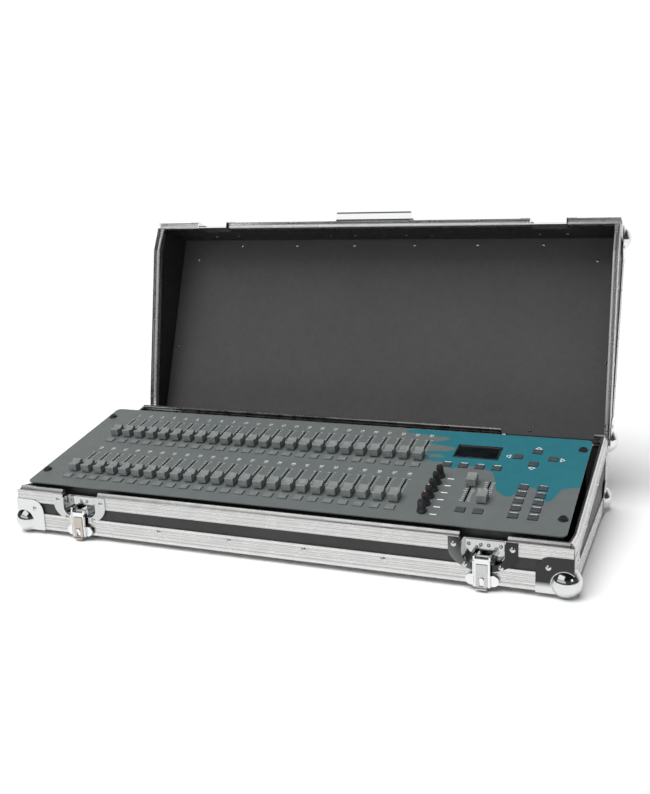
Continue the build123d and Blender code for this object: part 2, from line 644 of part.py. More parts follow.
# ---- carrying handle ------------------------------------------------------
HANDLE_PIVOT_Z = 110.0
HANDLE_HALF = 60.0
HANDLE_OUT = 9.0        # pivot axis in front of the lid's front face
BAIL_DROP = 44.0
BAIL_THICK = 5.0
BAIL_WIDE = 14.0
LUG_REACH = 30.0
plates = []
pivot_y = -HALF_D + METAL - HANDLE_OUT
for side in (-1, 1):
    centre = side * (HANDLE_HALF + 3)
    plate = block(centre - LUG_REACH, centre + LUG_REACH, -PLY_OUT_Y - 2, -PLY_OUT_Y, 97, 114.6)
    plate = fillet(plate.edges().filter_by(Axis.Y), 4)
    for end in (-1, 1):
        plate += rod_y(centre + end * 21, -PLY_OUT_Y - 3, -PLY_OUT_Y - 1, 106, 3.0)
    lug_mid = side * (HANDLE_HALF + 5.2)
    lug = block(lug_mid - 2, lug_mid + 2, pivot_y - 4, -PLY_OUT_Y - 1, HANDLE_PIVOT_Z - 4, HANDLE_PIVOT_Z + 4)
    lug -= rod_x(lug_mid - 5, lug_mid + 5, pivot_y, HANDLE_PIVOT_Z, 2.06)
    plates.append(plate + lug)
save("handle_plates", [opened(piece) for piece in plates])

arm_top = HANDLE_PIVOT_Z + 3.5
bail = block(-HANDLE_HALF, HANDLE_HALF, pivot_y - 3.5, pivot_y + 3.5, HANDLE_PIVOT_Z - BAIL_DROP, arm_top)
bail -= block(
    -HANDLE_HALF + 4, HANDLE_HALF - 4, pivot_y - 20, pivot_y + 20,
    HANDLE_PIVOT_Z - BAIL_DROP + BAIL_THICK, 200,
)
grip = block(
    -HANDLE_HALF, HANDLE_HALF, pivot_y + 3.5 - BAIL_WIDE, pivot_y + 3.5,
    HANDLE_PIVOT_Z - BAIL_DROP, HANDLE_PIVOT_Z - BAIL_DROP + BAIL_THICK,
)
bail += grip
for side in (-1, 1):
    bail += rod_x(
        min(side * HANDLE_HALF, side * (HANDLE_HALF + 7.2)),
        max(side * HANDLE_HALF, side * (HANDLE_HALF + 7.2)),
        pivot_y,
        HANDLE_PIVOT_Z,
        2.0,
    )
save("handle_bail", opened(bail))

# ---- desk: panel and chassis ----------------------------------------------
SLOT_W = 2.2
SLOT_MARGIN = 2.5
HOLE_GAP = 0.4
BUTTON_W = 11.6
BUTTON_L = 9.6
SHAFT_R = 3.0

channel_us = [FADER_FIRST_U + FADER_PITCH * index for index in range(CHANNELS)]
row_vs = (ROW_V, ROW_V + ROW_PITCH)
flash_vs = (FLASH_V, FLASH_V + ROW_PITCH)
knob_vs = [KNOB_V + KNOB_PITCH * index for index in range(len(KNOB_NAMES))]
button_groups = {
    "flash_buttons_lower": [(u, flash_vs[0]) for u in channel_us],
    "flash_buttons_upper": [(u, flash_vs[1]) for u in channel_us],
    "function_buttons": [(u, FUNCTION_V) for u in FUNCTION_U],
    "arrow_buttons": list(ARROWS),
    "memory_buttons": [(u, v) for u in MEMORY_U for v in MEMORY_V],
    "master_buttons": [(u, MASTER_BUTTON_V) for u in MASTER_U],
}

panel = on_panel(PANEL_W / 2, PANEL_L / 2, -PANEL_T / 2) * Box(PANEL_W, PANEL_L, PANEL_T)
normal = Vector(0, -math.sin(SLOPE), math.cos(SLOPE))
panel = fillet([edge for edge in panel.edges() if abs((edge % 0.5).dot(normal)) > 0.99], 7)
cuts = []
for v in row_vs:
    for u in channel_us:
        cuts.append(
            panel_block(
                u - SLOT_W / 2, u + SLOT_W / 2, v - SLOT_MARGIN, v + FADER_TRAVEL + SLOT_MARGIN, -5, 5
            )
        )
for u in MASTER_U:
    low = MASTER_LOW - SLOT_MARGIN
    high = MASTER_LOW + FADER_TRAVEL + SLOT_MARGIN
    cuts.append(panel_block(u - SLOT_W / 2, u + SLOT_W / 2, low, high, -5, 5))
half_w = BUTTON_W / 2 + HOLE_GAP
half_l = BUTTON_L / 2 + HOLE_GAP
for places in button_groups.values():
    for u, v in places:
        cuts.append(panel_block(u - half_w, u + half_w, v - half_l, v + half_l, -5, 5))
cuts.append(panel_block(*DISPLAY_U, *DISPLAY_V, -5, 5))
for v in knob_vs:
    cuts.append(on_panel(KNOB_U, v) * Cylinder(SHAFT_R + 0.5, 10))
screw_places = [(u, v) for u in (SCREW_U, PANEL_W - SCREW_U) for v in SCREW_V]
for u, v in screw_places:
    cuts.append(on_panel(u, v) * Cylinder(2.2, 10))
panel = panel - cuts
save("top_panel", panel)


def panel_z(y, h=0.0):
    """Height of the panel plane, moved by h along its normal, at a given y."""
    return PANEL_FRONT_Z + (y - PANEL_FRONT_Y) * math.tan(SLOPE) + h / math.cos(SLOPE)


TRAY_FRONT = PANEL_FRONT_Y + 8.5
TRAY_REAR = PANEL_FRONT_Y + PANEL_L * math.cos(SLOPE) - 6
TRAY_X = PANEL_W / 2 - CHASSIS_INSET
TRAY_LOW = BOARD + RAIL_HEIGHT


def tray_outline(inset, low):
    """Wedge outline (y, z) under the panel."""
    front = TRAY_FRONT + inset
    rear = TRAY_REAR - inset
    top = -PANEL_T - 0.05
    return [(front, low), (rear, low), (rear, panel_z(rear, top)), (front, panel_z(front, top))]


tray = side_prism(tray_outline(0, TRAY_LOW), -TRAY_X, TRAY_X)
room = side_prism(
    [(y, z + (10 if z > 30 else 0)) for y, z in tray_outline(SHEET, TRAY_LOW + SHEET)],
    -TRAY_X + SHEET,
    TRAY_X - SHEET,
)
tray = tray - room
LEDGE = 12.0
for side in (-1, 1):
    shelf_in = side * (TRAY_X - LEDGE)
    shelf_out = side * (TRAY_X - SHEET / 2)
    shelf_x = sorted((shelf_in, shelf_out))
    shelf = side_prism(
        [
            (TRAY_FRONT + 1, panel_z(TRAY_FRONT + 1, -PANEL_T - 0.05)),
            (TRAY_REAR - 1, panel_z(TRAY_REAR - 1, -PANEL_T - 0.05)),
            (TRAY_REAR - 1, panel_z(TRAY_REAR - 1, -PANEL_T - 0.05 - SHEET)),
            (TRAY_FRONT + 1, panel_z(TRAY_FRONT + 1, -PANEL_T - 0.05 - SHEET)),
        ],
        *shelf_x,
    )
    tray = tray + shelf
for u, v in screw_places:
    tray = tray - on_panel(u, v) * Cylinder(2.2, 20)
SOCKET_Z = 62.0
ROUND_SOCKETS = ((-250.0, 12.0), (-215.0, 12.0), (-170.0, 8.0), (-145.0, 8.0), (-120.0, 8.0))
for x, radius in ROUND_SOCKETS:
    tray = tray - rod_y(x, TRAY_REAR - 3, TRAY_REAR + 3, SOCKET_Z, radius - 1.5)
INLET = (205.0, 233.0, 50.0, 72.0)
tray = tray - block(INLET[0] + 1, INLET[1] - 1, TRAY_REAR - 3, TRAY_REAR + 3, INLET[2] + 1, INLET[3] - 1)
save("chassis_tray", tray)

screws = []
for u, v in screw_places:
    seat = on_panel(u, v, 0)
    washer = seat * (Pos(0, 0, 0.7) * Cone(6.2, 5.0, 1.4) - Pos(0, 0, 0.7) * Cylinder(2.6, 3))
    head = seat * (Pos(0, 0, 2.1) * Cylinder(4.4, 1.4))
    head = head + seat * (Pos(0, 0, -3.2) * Cylinder(2.0, 9.4))
    head = head - seat * (Pos(0, 0, 2.8) * Box(5.2, 1.0, 1.2)) - seat * (Pos(0, 0, 2.8) * Box(1.0, 5.2, 1.2))
    screws += [washer, head]
save("panel_screws", screws)

# ---- desk: inside ---------------------------------------------------------
BOARD_H = -19.0
board = panel_block(30, 706, 8, 208, BOARD_H - 1.6, BOARD_H)
save("circuit_board", board)

units = []
unit_top = -PANEL_T - 1.0
for v in row_vs:
    for u in channel_us:
        body = panel_block(u - 4.5, u + 4.5, v - 9, v + FADER_TRAVEL + 9, BOARD_H, unit_top)
        groove = panel_block(u - 1.4, u + 1.4, v - 4, v + FADER_TRAVEL + 4, unit_top - 7, unit_top + 2)
        units.append(body - groove)
for u in MASTER_U:
    body = panel_block(u - 4.5, u + 4.5, MASTER_LOW - 9, MASTER_LOW + FADER_TRAVEL + 9, BOARD_H, unit_top)
    groove = panel_block(
        u - 1.4, u + 1.4, MASTER_LOW - 4, MASTER_LOW + FADER_TRAVEL + 4, unit_top - 7, unit_top + 2
    )
    units.append(body - groove)
save("fader_units", units)

pots = []
for v in knob_vs:
    pot = on_panel(KNOB_U, v, (BOARD_H + unit_top) / 2) * Box(11, 12, unit_top - BOARD_H)
    pots.append(pot - on_panel(KNOB_U, v, -5) * Cylinder(SHAFT_R + 0.05, 16))
save("knob_pots", pots)

u0, u1 = DISPLAY_U
v0, v1 = DISPLAY_V
bezel = panel_block(u0 + 0.3, u1 - 0.3, v0 + 0.3, v1 - 0.3, -8, 0.8)
bezel -= panel_block(u0 + 2.4, u1 - 2.4, v0 + 2.4, v1 - 2.4, -20, 20)
save("display_bezel", bezel)
window = panel_block(u0 + 2.6, u1 - 2.6, v0 + 2.6, v1 - 2.6, -1.6, 0.0)
module = panel_block(u0 + 3.5, u1 - 3.5, v0 + 3.5, v1 - 3.5, BOARD_H, -1.8)
save("display_window", window)
save("display_module", module)

sockets = []
for x, radius in ROUND_SOCKETS:
    ring = rod_y(x, TRAY_REAR, TRAY_REAR + 3, SOCKET_Z, radius)
    barrel = rod_y(x, TRAY_REAR - 16, TRAY_REAR + 0.5, SOCKET_Z, radius - 1.6)
    hollow = rod_y(x, TRAY_REAR - 12, TRAY_REAR + 4, SOCKET_Z, radius - 3.2)
    sockets.append(ring + barrel - hollow)
inlet = block(INLET[0] - 3, INLET[1] + 3, TRAY_REAR, TRAY_REAR + 2, INLET[2] - 2, INLET[3] + 2)
inlet += block(
    INLET[0] + 1.2, INLET[1] - 1.2, TRAY_REAR - 22, TRAY_REAR + 0.5, INLET[2] + 1.2, INLET[3] - 1.2
)
inlet -= block(INLET[0] + 4, INLET[1] - 4, TRAY_REAR - 17, TRAY_REAR + 3, INLET[2] + 4, INLET[3] - 4)
save("rear_sockets", sockets, inlet)

rails = []
for y in (TRAY_FRONT + 20, TRAY_REAR - 20):
    rails.append(block(-TRAY_X + 10, TRAY_X - 10, y - 9, y + 9, BOARD, BOARD + RAIL_HEIGHT))
save("desk_rails", rails)

# ---- desk: controls -------------------------------------------------------
CAP_W = 12.0
CAP_L = 17.0
CAP_H = 11.0
CAP_GAP = 1.6           # from the panel up to the cap


def fader_cap(u, v):
    """Fader cap with a dished top, its lever and the slider inside the unit."""
    end = CAP_L / 2
    outline = [(-end, 0), (end, 0), (end - 0.2, 6.0), (end - 0.9, 9.6), (end - 2.2, CAP_H)]
    outline += [(end - 4.2, CAP_H - 0.7), (2.0, CAP_H - 2.3), (-0.8, CAP_H - 2.9), (-3.2, CAP_H - 2.6)]
    outline += [(-5.2, CAP_H - 1.5), (-end + 1.6, CAP_H - 0.9), (-end + 0.5, CAP_H - 2.0), (-end - 0.1, 3.0)]
    face = make_face(Polyline([(-CAP_W / 2, along, up) for along, up in outline], close=True))
    cap = extrude(face, amount=CAP_W, dir=(1, 0, 0))
    stem = Pos(0, 0, -3.2) * Box(1.6, 3.0, 10.0)
    return on_panel(u, v, CAP_GAP) * (cap + stem)


half = CHANNELS // 2
banks = {
    "faders_lower_left": (channel_us[:half], ROW_V),
    "faders_lower_right": (channel_us[half:], ROW_V),
    "faders_upper_left": (channel_us[:half], ROW_V + ROW_PITCH),
    "faders_upper_right": (channel_us[half:], ROW_V + ROW_PITCH),
}
for name, (us, v) in banks.items():
    save(name, [fader_cap(u, v) for u in us])
save("master_fader_left", fader_cap(MASTER_U[0], MASTER_V[0]))
save("master_fader_right", fader_cap(MASTER_U[1], MASTER_V[1]))


def knob(v):
    """Tall fluted control knob with a flared skirt and a domed top, on its shaft."""
    outline = [(0, 0), (6.1, 0), (6.2, 1.0), (5.4, 2.4), (4.9, 4.0), (4.6, 8.0), (4.3, 12.0)]
    outline += [(3.9, 13.8), (3.0, 15.2), (1.7, 16.0), (0, 16.2)]
    face = make_face(Polyline([(radius, 0, height) for radius, height in outline], close=True))
    shape = revolve(face, axis=Axis.Z)
    for step in range(12):
        shape -= Rot(0, 0, 30 * step + 15) * Pos(5.0, 0, 9.5) * Cylinder(0.55, 10)
    shaft = Pos(0, 0, -4.5) * Cylinder(SHAFT_R, 10)
    return on_panel(KNOB_U, v, 0.8) * (shape + shaft)


for name, v in zip(KNOB_NAMES, knob_vs):
    save(f"knob_{name}", knob(v))


def button(u, v):
    """Flat key with softened upper edges, over its switch."""
    key = Pos(0, 0, BUTTON_PROUD - 2.6) * Box(BUTTON_W, BUTTON_L, 5.2)
    key = chamfer(key.edges().group_by(Axis.Z)[-1], 0.5)
    plunger = Pos(0, 0, -5.2) * Box(3, 3, 3.5)
    return on_panel(u, v) * (key + plunger)


for name, places in button_groups.items():
    save(name, [button(u, v) for u, v in places])

# ---- placing and writing --------------------------------------------------
boxes = [solid.bounding_box() for solids in pieces.values() for solid in solids]
front = min(box.min.Y for box in boxes)
back = max(box.max.Y for box in boxes)
place = Pos(0, -(front + back) / 2, -min(box.min.Z for box in boxes))
for name, solids in pieces.items():
    placed = [place * solid for solid in solids]
    export_step(placed[0] if len(placed) == 1 else Compound(children=placed), f"parts/{name}.step")
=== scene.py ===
import math

import bmesh
import bpy
from mathutils import Matrix, Vector


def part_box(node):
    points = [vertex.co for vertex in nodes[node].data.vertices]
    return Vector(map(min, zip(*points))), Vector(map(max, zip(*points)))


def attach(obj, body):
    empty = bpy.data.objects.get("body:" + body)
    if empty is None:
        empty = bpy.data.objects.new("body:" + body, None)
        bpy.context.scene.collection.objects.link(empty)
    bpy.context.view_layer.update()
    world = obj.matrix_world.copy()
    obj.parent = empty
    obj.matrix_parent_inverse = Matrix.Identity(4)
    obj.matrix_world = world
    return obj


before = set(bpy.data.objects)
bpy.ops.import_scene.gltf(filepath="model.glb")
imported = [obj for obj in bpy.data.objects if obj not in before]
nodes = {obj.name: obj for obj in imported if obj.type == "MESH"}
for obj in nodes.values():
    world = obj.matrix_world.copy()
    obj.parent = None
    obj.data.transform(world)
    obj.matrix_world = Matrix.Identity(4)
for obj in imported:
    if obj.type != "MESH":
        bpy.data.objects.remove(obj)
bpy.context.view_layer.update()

MM = 0.001
BALL_BELOW_BOARD = 0.0084       # the ball corners stand this far below the bottom board

# The CAD measures from the middle of the bottom board's underside.
board_low, board_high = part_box("bottom_board")
ORIGIN = Vector(((board_low.x + board_high.x) / 2, (board_low.y + board_high.y) / 2, board_low.z))

# ---- sizes shared with the CAD, in metres --------------------------------
CASE_W = 0.740
CASE_D = 0.312
LID_OPEN = math.radians(110)
HINGE = ORIGIN + Vector((0.0, 0.1592, 0.0795))
LINING_Z = 0.1295               # underside of the closed lid's board
EDGE_BAND = 0.0225              # width of the edge angles, measured in from the outside
GROOVE_PITCH = 0.0044
# The split line on the sides: from y, to y, and how far it rises on the way.
SPLIT_STEPS = ((-0.156, -0.109, -0.0055), (-0.109, 0.128, 0.0405), (0.128, 0.156, 0.0065))
PANEL_W = 0.720
PANEL_L = 0.224
PANEL_FRONT = ORIGIN + Vector((0.0, -0.146, 0.0606))
PANEL_SLOPE = math.radians(12.75)
FLOOR_Z = ORIGIN.z - BALL_BELOW_BOARD
CHANNELS = 24
FADER_FIRST_U = 0.050
FADER_PITCH = 0.020
SLOT_LOW_V = 0.041
ROW_PITCH = 0.103
MASTER_U = (0.593, 0.614)
MASTER_SLOT_V = 0.0515
KNOB_U = 0.550
KNOB_V = 0.022
KNOB_PITCH = 0.0164
FUNCTION_U = (0.550, 0.5713, 0.5926, 0.6139)
FUNCTION_V = 0.134
ARROWS = {
    "left": (0.634, 0.1675), "up": (0.6562, 0.1835), "right": (0.6785, 0.1675), "down": (0.6562, 0.1515),
}
MEMORY_U = (0.655, 0.678)
MEMORY_V = (0.095, 0.079, 0.063, 0.047, 0.031)
PRINT_LIFT = 0.00006
TICKS = 11
TICK_STEP = 0.0045

UP_SLOPE = Vector((0, math.cos(PANEL_SLOPE), math.sin(PANEL_SLOPE)))
PANEL_NORMAL = Vector((0, -math.sin(PANEL_SLOPE), math.cos(PANEL_SLOPE)))


def on_panel(u, v, h=0.0):
    """Row-frame point from panel coordinates: u across, v up the slope, h above."""
    return PANEL_FRONT + Vector((u - PANEL_W / 2, 0, 0)) + UP_SLOPE * v + PANEL_NORMAL * h


# ---- materials ------------------------------------------------------------
RANGE_INPUTS = ("From Min", "From Max", "To Min", "To Max")


class Material:
    """A principled material with short calls for the nodes used here."""

    def __init__(self, name):
        self.data = bpy.data.materials.new(name)
        self.data.use_nodes = True
        self.tree = self.data.node_tree
        self.shader = self.tree.nodes["Principled BSDF"]
        self.coords = self.tree.nodes.new("ShaderNodeTexCoord").outputs["Object"]

    def node(self, kind, **settings):
        made = self.tree.nodes.new(kind)
        for key, value in settings.items():
            setattr(made, key, value)
        return made

    def link(self, source, target):
        self.tree.links.new(source, target)

    def set(self, **values):
        for key, value in values.items():
            self.shader.inputs[key.replace("_", " ")].default_value = value
        return self

    def mapped(self, scale=(1, 1, 1), rotation=(0, 0, 0), location=(0, 0, 0)):
        mapping = self.node("ShaderNodeMapping")
        mapping.inputs["Scale"].default_value = scale
        mapping.inputs["Rotation"].default_value = rotation
        mapping.inputs["Location"].default_value = location
        self.link(self.coords, mapping.inputs["Vector"])
        return mapping.outputs["Vector"]

    def noise(self, scale, detail=3.0, roughness=0.5, vector=None):
        noise = self.node("ShaderNodeTexNoise")
        noise.inputs["Scale"].default_value = scale
        noise.inputs["Detail"].default_value = detail
        noise.inputs["Roughness"].default_value = roughness
        self.link(vector or self.coords, noise.inputs["Vector"])
        return noise.outputs["Fac"]

    def ramp(self, value, stops):
        ramp = self.node("ShaderNodeValToRGB")
        elements = ramp.color_ramp.elements
        while len(elements) < len(stops):
            elements.new(0.5)
        for element, (position, colour) in zip(elements, stops):
            element.position = position
            element.color = (*colour, 1)
        self.link(value, ramp.inputs["Fac"])
        return ramp.outputs["Color"]

    def levels(self, value, low, high, out_low=0.0, out_high=1.0):
        levels = self.node("ShaderNodeMapRange")
        for key, number in zip(RANGE_INPUTS, (low, high, out_low, out_high)):
            levels.inputs[key].default_value = number
        self.link(value, levels.inputs["Value"])
        return levels.outputs["Result"]

    def math(self, operation, a, b):
        made = self.node("ShaderNodeMath", operation=operation)
        for socket, value in zip(made.inputs, (a, b)):
            if isinstance(value, (int, float)):
                socket.default_value = value
            else:
                self.link(value, socket)
        return made.outputs[0]

    def mix(self, factor, a, b):
        made = self.node("ShaderNodeMix", data_type="RGBA")
        for socket, value in ((made.inputs["Factor"], factor), (made.inputs[6], a), (made.inputs[7], b)):
            if isinstance(value, (int, float)):
                socket.default_value = value
            elif isinstance(value, tuple):
                socket.default_value = (*value, 1)
            else:
                self.link(value, socket)
        return made.outputs[2]

    def bump(self, height, distance, strength=1.0):
        bump = self.node("ShaderNodeBump")
        bump.inputs["Distance"].default_value = distance
        bump.inputs["Strength"].default_value = strength
        self.link(height, bump.inputs["Height"])
        if self.shader.inputs["Normal"].links:
            self.link(self.shader.inputs["Normal"].links[0].from_socket, bump.inputs["Normal"])
        self.link(bump.outputs["Normal"], self.shader.inputs["Normal"])
        return self

    def colour(self, socket):
        self.link(socket, self.shader.inputs["Base Color"])
        return self

    def roughness(self, socket):
        self.link(socket, self.shader.inputs["Roughness"])
        return self


def edge_wear(mat, base, worn, amount=0.35):
    """Mix a worn colour in along edges, broken up by noise."""
    geometry = mat.node("ShaderNodeNewGeometry")
    edge = mat.levels(geometry.outputs["Pointiness"], 0.52, 0.60)
    patchy = mat.math("MULTIPLY", edge, mat.levels(mat.noise(220, 4), 0.45, 0.65))
    return mat.mix(mat.math("MULTIPLY", patchy, amount), base, worn)


def laminate(name, dark, light, speck, roughness, lined_roof=False):
    """Hard-wearing laminate: pebbled skin, tiny pale specks, faint scuffs."""
    mat = Material(name)
    cloud = mat.ramp(mat.noise(14, 3), [(0.3, dark), (0.75, light)])
    if lined_roof:
        split = mat.node("ShaderNodeSeparateXYZ")
        mat.link(closed_position(mat, True), split.inputs["Vector"])
        outside = mat.math("GREATER_THAN", split.outputs["Z"], LINING_Z + 0.003)
        cloud = mat.mix(outside, cloud, (0.018, 0.018, 0.018))
    specks = mat.levels(mat.noise(750, 2, 0.7), 0.56, 0.74)
    tinted = mat.mix(mat.math("MULTIPLY", specks, 0.5), cloud, speck)
    scuffs = mat.levels(mat.noise(60, 6, 0.75, mat.mapped((1, 1, 9))), 0.63, 0.70)
    tinted = mat.mix(mat.math("MULTIPLY", scuffs, 0.06), tinted, speck)
    mat.colour(tinted)
    mat.roughness(mat.levels(mat.noise(90, 4), 0.3, 0.7, roughness - 0.06, roughness + 0.08))
    mat.bump(mat.noise(620, 2), 0.00018, 0.6)
    return mat.data


def metal(name, tone, roughness, streak=(1, 1, 1), streak_depth=0.00002, dirt=0.10):
    """Bare or plated metal with brushed streaks, smears and dull patches."""
    mat = Material(name)
    mat.set(Metallic=1.0)
    patches = mat.levels(mat.noise(28, 5, 0.6), 0.35, 0.75)
    darker = tuple(c * 0.80 for c in tone)
    base = mat.mix(mat.math("MULTIPLY", patches, dirt * 2), tone, darker)
    mat.colour(base)
    smear = mat.noise(60, 5, 0.6, mat.mapped(streak))
    mat.roughness(mat.levels(smear, 0.3, 0.72, roughness * 0.75, roughness * 1.35))
    mat.bump(mat.noise(420, 3, 0.6, mat.mapped(streak)), streak_depth, 0.5)
    return mat.data


def closed_position(mat, lid):
    """Socket with the place on the closed case, undoing the lid's opening if asked."""
    if not lid:
        return mat.mapped(location=-ORIGIN)
    about_hinge = mat.mapped(location=-HINGE)
    turned = mat.node("ShaderNodeMapping")
    turned.inputs["Rotation"].default_value = (LID_OPEN, 0, 0)
    turned.inputs["Location"].default_value = HINGE - ORIGIN
    mat.link(about_hinge, turned.inputs["Vector"])
    return turned.outputs["Vector"]


def extrusion(name, lid, rim=False):
    """Drawn aluminium section with grooves along it, painted shade in the grooves and painted highlights on
    the crowns; rims follow the bent split line.
    """
    mat = Material(name)
    mat.set(Metallic=1.0)
    split = mat.node("ShaderNodeSeparateXYZ")
    mat.link(closed_position(mat, lid), split.inputs["Vector"])
    x, y, z = split.outputs
    if rim:
        for y0, y1, rise in SPLIT_STEPS:
            z = mat.math("SUBTRACT", z, mat.levels(y, y0, y1, 0, rise))
    side = mat.math("GREATER_THAN", mat.math("ABSOLUTE", x, 0), CASE_W / 2 - EDGE_BAND)
    end = mat.math("GREATER_THAN", mat.math("ABSOLUTE", y, 0), CASE_D / 2 - EDGE_BAND)
    if rim:
        side = mat.math("MULTIPLY", side, mat.math("SUBTRACT", 1, end))
    both = mat.math("MULTIPLY", side, end)
    across = mat.math("MULTIPLY", z, mat.math("SUBTRACT", 1, both))
    if lid or not rim:
        across = mat.math("ADD", across, mat.math("MULTIPLY", x, side))
        across = mat.math("ADD", across, mat.math("MULTIPLY", y, end))
    wave = mat.math("SINE", mat.math("MULTIPLY", across, math.tau / GROOVE_PITCH), 0)
    # Painted shade: the grooves are coloured darker. Painted highlight: the crowns between them are coloured
    # lighter.
    painted_groove_shade = mat.levels(wave, 0.72, 0.97)
    painted_crown_highlight = mat.levels(wave, -1, 0.5, 1, 0)
    patches = mat.levels(mat.noise(28, 5, 0.6), 0.35, 0.75)
    tone = mat.mix(mat.math("MULTIPLY", patches, 0.3), (0.64, 0.645, 0.635), (0.57, 0.575, 0.565))
    tone = mat.mix(mat.math("MULTIPLY", painted_crown_highlight, 0.5), tone, (0.72, 0.725, 0.72))
    mat.colour(mat.mix(mat.math("MULTIPLY", painted_groove_shade, 0.62), tone, (0.27, 0.27, 0.265)))
    mat.roughness(mat.levels(mat.noise(60, 5), 0.3, 0.72, 0.22, 0.38))
    mat.bump(mat.math("MULTIPLY", wave, -0.5), 0.00022, 0.8)
    mat.bump(mat.noise(500, 3), 0.000008, 0.3)
    return mat.data


def plastic(name, dark, light, roughness, grain=900, depth=0.00005):
    """Moulded plastic: spark-eroded grain, slight mottling and handling shine."""
    mat = Material(name)
    base = mat.ramp(mat.noise(120, 4), [(0.35, dark), (0.7, light)])
    mat.colour(edge_wear(mat, base, tuple(min(1, c * 1.8 + 0.02) for c in light), 0.25))
    mat.roughness(mat.levels(mat.noise(150, 4), 0.3, 0.7, roughness - 0.07, roughness + 0.07))
    mat.bump(mat.noise(grain, 2), depth, 0.5)
    return mat.data


def handle_chrome():
    """Plated bar with a tint that imitates reflections: bright face, dark edges, ends and arms."""
    mat = Material("handle_plated_steel")
    mat.set(Metallic=1.0)
    low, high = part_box("handle_bail")
    split = mat.node("ShaderNodeSeparateXYZ")
    mat.link(mat.coords, split.inputs["Vector"])
    rise = mat.levels(split.outputs["Z"], high.z - 0.017, high.z)
    bright, dark = (0.82, 0.83, 0.835), (0.05, 0.05, 0.052)
    stops = [(0.0, dark), (0.36, dark), (0.40, bright), (0.84, bright)]
    stops += [(0.90, (0.12, 0.12, 0.12)), (1.0, dark)]
    face = mat.ramp(rise, stops)
    arms = mat.levels(split.outputs["Y"], low.y + 0.011, low.y + 0.013)
    across = mat.math("ABSOLUTE", mat.math("SUBTRACT", split.outputs["X"], (low.x + high.x) / 2), 0)
    half = (high.x - low.x) / 2
    ends = mat.levels(across, half - 0.0018, half - 0.0014)
    mat.colour(mat.mix(mat.math("MAXIMUM", arms, ends), face, (0.06, 0.06, 0.063)))
    mat.roughness(mat.levels(mat.noise(60, 5), 0.3, 0.72, 0.07, 0.15))
    mat.bump(mat.noise(420, 3), 0.00001, 0.5)
    return mat.data


def front_chrome(name, tone, keep_ball):
    """Plated steel. Flat front flanges on the right are tinted as if they reflected a dark room."""
    mat = Material(name)
    mat.set(Metallic=1.0)
    split = mat.node("ShaderNodeSeparateXYZ")
    mat.link(closed_position(mat, False), split.inputs["Vector"])
    x, y, z = split.outputs
    dark = mat.levels(mat.math("ADD", x, mat.levels(z, 0, 0.05, -0.02, 0.02)), 0.16, 0.26)
    face = mat.levels(y, -CASE_D / 2 - 0.0002, -CASE_D / 2 - 0.0009)
    dark = mat.math("MULTIPLY", dark, face)
    if keep_ball:
        dx = mat.math("POWER", mat.math("SUBTRACT", x, CASE_W / 2 - 0.009), 2)
        dz = mat.math("POWER", mat.math("SUBTRACT", z, 0.009), 2)
        apart = mat.levels(mat.math("ADD", dx, dz), 0.00022, 0.00026)
        dark = mat.math("MULTIPLY", dark, apart)
        dark = mat.math("MULTIPLY", dark, mat.levels(z, 0.004, 0.010))
    patches = mat.levels(mat.noise(28, 5, 0.6), 0.35, 0.75)
    plated = mat.mix(mat.math("MULTIPLY", patches, 0.25), tone, tuple(c * 0.8 for c in tone))
    mat.colour(mat.mix(mat.math("MULTIPLY", dark, 0.95), plated, (0.012, 0.012, 0.013)))
    mat.roughness(mat.levels(mat.noise(60, 5), 0.3, 0.72, 0.07, 0.15))
    mat.bump(mat.noise(420, 3), 0.00001, 0.5)
    return mat.data


def lid_rivet_metal():
    """Plated heads outside, copper-brown clinched tips on the lining inside."""
    mat = Material("lid_rivet_metal")
    split = mat.node("ShaderNodeSeparateXYZ")
    mat.link(closed_position(mat, True), split.inputs["Vector"])
    under_roof = mat.math("LESS_THAN", split.outputs["Z"], LINING_Z + 0.0003)
    near_roof = mat.math("GREATER_THAN", split.outputs["Z"], LINING_Z - 0.004)
    inside = mat.math("LESS_THAN", mat.math("ABSOLUTE", split.outputs["Y"], 0), CASE_D / 2 - 0.006)
    tip = mat.math("MULTIPLY", mat.math("MULTIPLY", under_roof, near_roof), inside)
    patches = mat.levels(mat.noise(900, 3), 0.40, 0.60)
    copper = mat.mix(patches, (0.30, 0.17, 0.10), (0.62, 0.50, 0.42))
    mat.colour(mat.mix(tip, (0.62, 0.62, 0.61), copper))
    mat.set(Metallic=1.0)
    mat.roughness(mat.levels(mat.noise(300, 4), 0.3, 0.7, 0.16, 0.34))
    mat.bump(mat.noise(900, 3), 0.00003, 0.5)
    return mat.data


GREY_DARK = (0.108, 0.121, 0.119)
GREY_LIGHT = (0.118, 0.131, 0.129)
TEAL_DARK = (0.018, 0.128, 0.158)
TEAL_LIGHT = (0.021, 0.139, 0.171)


def curve_node(mat, value, points):
    """A drawn line: maps value (0..1) to a height (0..1) through smooth points."""
    node = mat.node("ShaderNodeFloatCurve")
    curve = node.mapping.curves[0]
    curve.points[0].location = points[0]
    curve.points[1].location = points[-1]
    for point in points[1:-1]:
        curve.points.new(*point)
    node.mapping.update()
    mat.link(value, node.inputs["Value"])
    return node.outputs["Value"]


